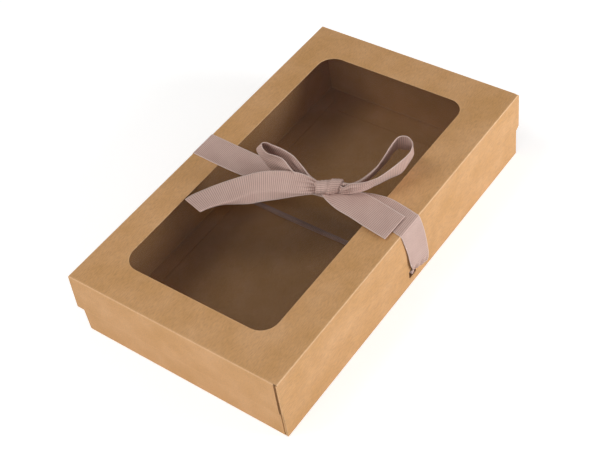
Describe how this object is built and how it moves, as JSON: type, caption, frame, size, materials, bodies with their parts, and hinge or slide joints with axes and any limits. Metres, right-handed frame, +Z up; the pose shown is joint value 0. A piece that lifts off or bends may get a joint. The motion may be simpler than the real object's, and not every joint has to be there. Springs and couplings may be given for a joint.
{
  "type": "gift box",
  "caption": "Flat kraft board gift box with a hinged lid, a clear film window and a ribbon tied in a bow through slots in the front and back walls.",
  "frame": {"origin": "On the surface the box stands on, under the middle of the lid's length and width.", "axes": "+X along the box towards the end at the lower left of the picture, +Y to the back wall with the lid's crease, +Z up."},
  "size_m": [0.3328, 0.1988, 0.0924],
  "materials": {
    "kraft_board": "matt uncoated kraft board",
    "clear_film": "clear gloss film",
    "grosgrain_ribbon": "ribbed grosgrain, dusty mauve"
  },
  "bodies": {
    "base": {"base_floor": "kraft_board", "back_wall": "kraft_board", "front_wall": "kraft_board", "front_rim": "kraft_board", "front_liner": "kraft_board", "front_flap": "kraft_board", "end_wall_near": "kraft_board", "end_wall_far": "kraft_board", "end_rim_near": "kraft_board", "end_rim_far": "kraft_board", "end_liner_near": "kraft_board", "end_liner_far": "kraft_board", "end_flap_near": "kraft_board", "end_flap_far": "kraft_board", "back_tab_near": "kraft_board", "back_tab_far": "kraft_board", "front_tab_near": "kraft_board", "front_tab_far": "kraft_board", "ribbon_inner_run": "grosgrain_ribbon", "ribbon_back_strap": "grosgrain_ribbon"},
    "lid": {"lid_panel": "kraft_board", "window_film": "clear_film", "lid_front_wall": "kraft_board", "lid_end_wall_near": "kraft_board", "lid_end_wall_far": "kraft_board", "lid_tab_near": "kraft_board", "lid_tab_far": "kraft_board", "ribbon_top_run": "grosgrain_ribbon", "ribbon_front_strap": "grosgrain_ribbon", "bow_knot": "grosgrain_ribbon", "bow_loop_left": "grosgrain_ribbon", "bow_loop_right": "grosgrain_ribbon", "bow_tail_left": "grosgrain_ribbon", "bow_tail_right": "grosgrain_ribbon"}
  },
  "joints": [
    {"name": "lid_hinge", "type": "hinge", "parent": "base", "child": "lid", "pos_m": [0, 0.0965, 0.062], "axis": [-1, 0, 0], "range_deg": [0, 180]}
  ]
}
